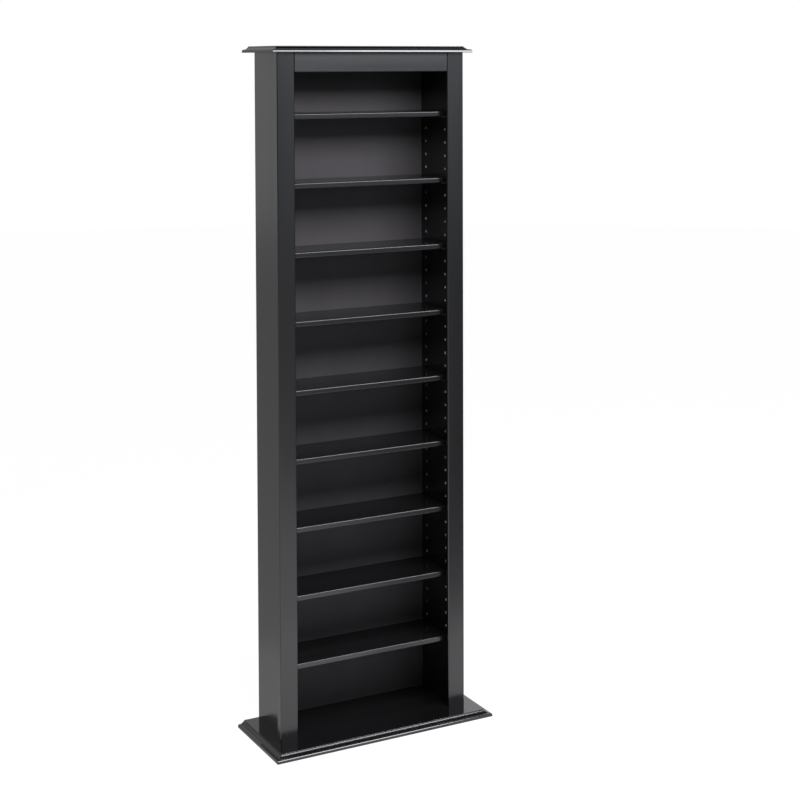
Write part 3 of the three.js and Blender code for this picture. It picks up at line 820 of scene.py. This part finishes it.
def floor_paper():
    """The floor's finish, its matt colour and its glow added up. Away from the camera both are painted: a
    painted shade in one sector of the matt colour and, in reflections, painted glows.
    """
    finish = bpy.data.materials.new("floor_paper")
    tree = cleared(finish)
    matt = node(tree, "ShaderNodeBsdfDiffuse")
    glow = node(tree, "ShaderNodeEmission")
    both = node(tree, "ShaderNodeAddShader")
    out = node(tree, "ShaderNodeOutputMaterial")
    path = node(tree, "ShaderNodeLightPath")
    place = node(tree, "ShaderNodeTexCoord").outputs["Object"]
    split = node(tree, "ShaderNodeSeparateXYZ")
    tree.links.new(place, split.inputs["Vector"])
    distance = worked(tree, "ShaderNodeVectorMath", "LENGTH", place).outputs["Value"]
    turn = turn_round(tree, place)
    # Painted light in reflections: a pool of glow round the tower's foot, a curve across and a far glow,
    # though the floor is no lamp
    pool = ranged(tree, distance, From_Min=PAPER_POOL[0], From_Max=PAPER_POOL[1],
                  To_Min=PAPER_GLOW_NEAR, To_Max=0.0)
    across = ranged(tree, split.outputs["X"], From_Min=-PAPER_REACH, From_Max=PAPER_REACH)
    aside = ramp(tree, across, grey(PAPER_ACROSS))
    near_glow = worked(tree, "ShaderNodeMath", "MAXIMUM", pool, aside).outputs["Value"]
    far = ranged(tree, distance, From_Min=PAPER_FAR[0], From_Max=PAPER_FAR[1],
                 To_Min=0.0, To_Max=PAPER_GLOW_FAR)
    far_round = ramp(tree, turn, grey(PAPER_FAR_ROUND))
    far_glow = worked(tree, "ShaderNodeMath", "MULTIPLY", far, far_round).outputs["Value"]
    painted_reflection_glow = worked(tree, "ShaderNodeMath", "MAXIMUM", near_glow, far_glow).outputs["Value"]
    shade = node(tree, "ShaderNodeMapRange", To_Max=PAPER_SHADE_SEEN)
    seen = ranged(tree, path.outputs["Is Camera Ray"], To_Min=0.0, To_Max=PAPER_GLOW_SEEN)
    total = tree.nodes.new("ShaderNodeMix")
    # Painted shade: for all but the camera the matt colour is darker in one sector of the turn round the
    # tower
    tree.links.new(ramp(tree, turn, grey(PAPER_SHADE_ROUND)), shade.inputs["To Min"])
    tree.links.new(path.outputs["Is Camera Ray"], shade.inputs["Value"])
    tree.links.new(shade.outputs["Result"], matt.inputs["Color"])
    tree.links.new(path.outputs["Is Glossy Ray"], total.inputs["Factor"])
    tree.links.new(seen, total.inputs["A"])
    tree.links.new(painted_reflection_glow, total.inputs["B"])
    tree.links.new(total.outputs["Result"], glow.inputs["Strength"])
    tree.links.new(matt.outputs["BSDF"], both.inputs[0])
    tree.links.new(glow.outputs["Emission"], both.inputs[1])
    tree.links.new(both.outputs["Shader"], out.inputs["Surface"])
    return finish


def make_floor():
    """A round floor, a grid of rings and sides, that shows white and keeps the tower's shadow."""
    radius = np.linspace(0, FLOOR_RADIUS, FLOOR_RINGS + 1)[:, None]
    angle = np.arange(FLOOR_SIDES) * 2 * math.pi / FLOOR_SIDES
    height = np.zeros((len(radius), FLOOR_SIDES))
    points = np.stack([radius * np.cos(angle), radius * np.sin(angle), height], -1)
    mesh = bpy.data.meshes.new("floor")
    mesh.from_pydata(points.reshape(-1, 3).tolist(), [], grid_faces(len(radius), FLOOR_SIDES, True))
    mesh.validate()
    floor = bpy.data.objects.new("floor", mesh)
    bpy.context.scene.collection.objects.link(floor)
    mesh.materials.append(floor_paper())


def glow_round(tree, place, turn_stops, height_stops, tint):
    """A glow whose level is one curve of the turn round the tower times one curve of the elevation. The
    second is read at half of one more than the sine of the elevation."""
    split = node(tree, "ShaderNodeSeparateXYZ")
    tree.links.new(place, split.inputs["Vector"])
    share = ranged(tree, split.outputs["Z"], From_Min=-1.0, From_Max=1.0, To_Min=0.0, To_Max=1.0)
    height_colours = [(0.5 + 0.5 * math.sin(math.radians(degrees)), [level * part for part in tint])
                      for degrees, level in height_stops]
    height = ramp(tree, share, height_colours)
    round_about = ramp(tree, turn_round(tree, place), grey(turn_stops))
    return worked(tree, "ShaderNodeVectorMath", "MULTIPLY", height, round_about).outputs["Vector"]


def make_world():
    """White behind the camera's view. Reflections see a backdrop with a glow at the front and one at the
    back, and other light is a share of it."""
    world = bpy.data.worlds.new("studio")
    bpy.context.scene.world = world
    tree = cleared(world)
    place = node(tree, "ShaderNodeTexCoord").outputs["Generated"]
    path = node(tree, "ShaderNodeLightPath")
    front = glow_round(tree, place, *FRONT_GLOW, FRONT_TINT)
    back = glow_round(tree, place, *BACK_GLOW, BACK_TINT)
    backdrop = worked(tree, "ShaderNodeVectorMath", "ADD", front, back).outputs["Vector"]
    level = ranged(tree, path.outputs["Is Glossy Ray"], To_Min=FILL_SHARE, To_Max=1.0)
    scaled = worked(tree, "ShaderNodeVectorMath", "SCALE", backdrop)
    seen = tree.nodes.new("ShaderNodeMix")
    seen.data_type = "RGBA"
    seen.inputs["B"].default_value = (1, 1, 1, 1)
    glow = node(tree, "ShaderNodeBackground")
    out = node(tree, "ShaderNodeOutputWorld")
    tree.links.new(level, scaled.inputs["Scale"])
    tree.links.new(path.outputs["Is Camera Ray"], seen.inputs["Factor"])
    tree.links.new(scaled.outputs["Vector"], seen.inputs["A"])
    tree.links.new(seen.outputs["Result"], glow.inputs["Color"])
    tree.links.new(glow.outputs["Background"], out.inputs["Surface"])


def make_softboxes():
    """Area lamps. One of area A and brightness B has the power LAMP_POWER times A times B."""
    for name, (place, facing, size, brightness) in SOFTBOXES.items():
        light = bpy.data.lights.new(name, "AREA")
        light.shape = "RECTANGLE"
        light.size, light.size_y = size
        light.energy = LAMP_POWER * size[0] * size[1] * brightness
        light.color = LAMP_TINT
        lamp = bpy.data.objects.new(name, light)
        lamp.location = place
        lamp.rotation_mode = "QUATERNION"
        lamp.rotation_quaternion = (Vector(facing) - Vector(place)).to_track_quat("-Z", "Y")
        lamp.visible_camera = False
        bpy.context.scene.collection.objects.link(lamp)


make_boards()
make_uprights()
make_rail_and_back()
make_shelves()
make_screws()
make_camera()
make_floor()
make_world()
make_softboxes()
bpy.context.scene.view_settings.view_transform = "Standard"
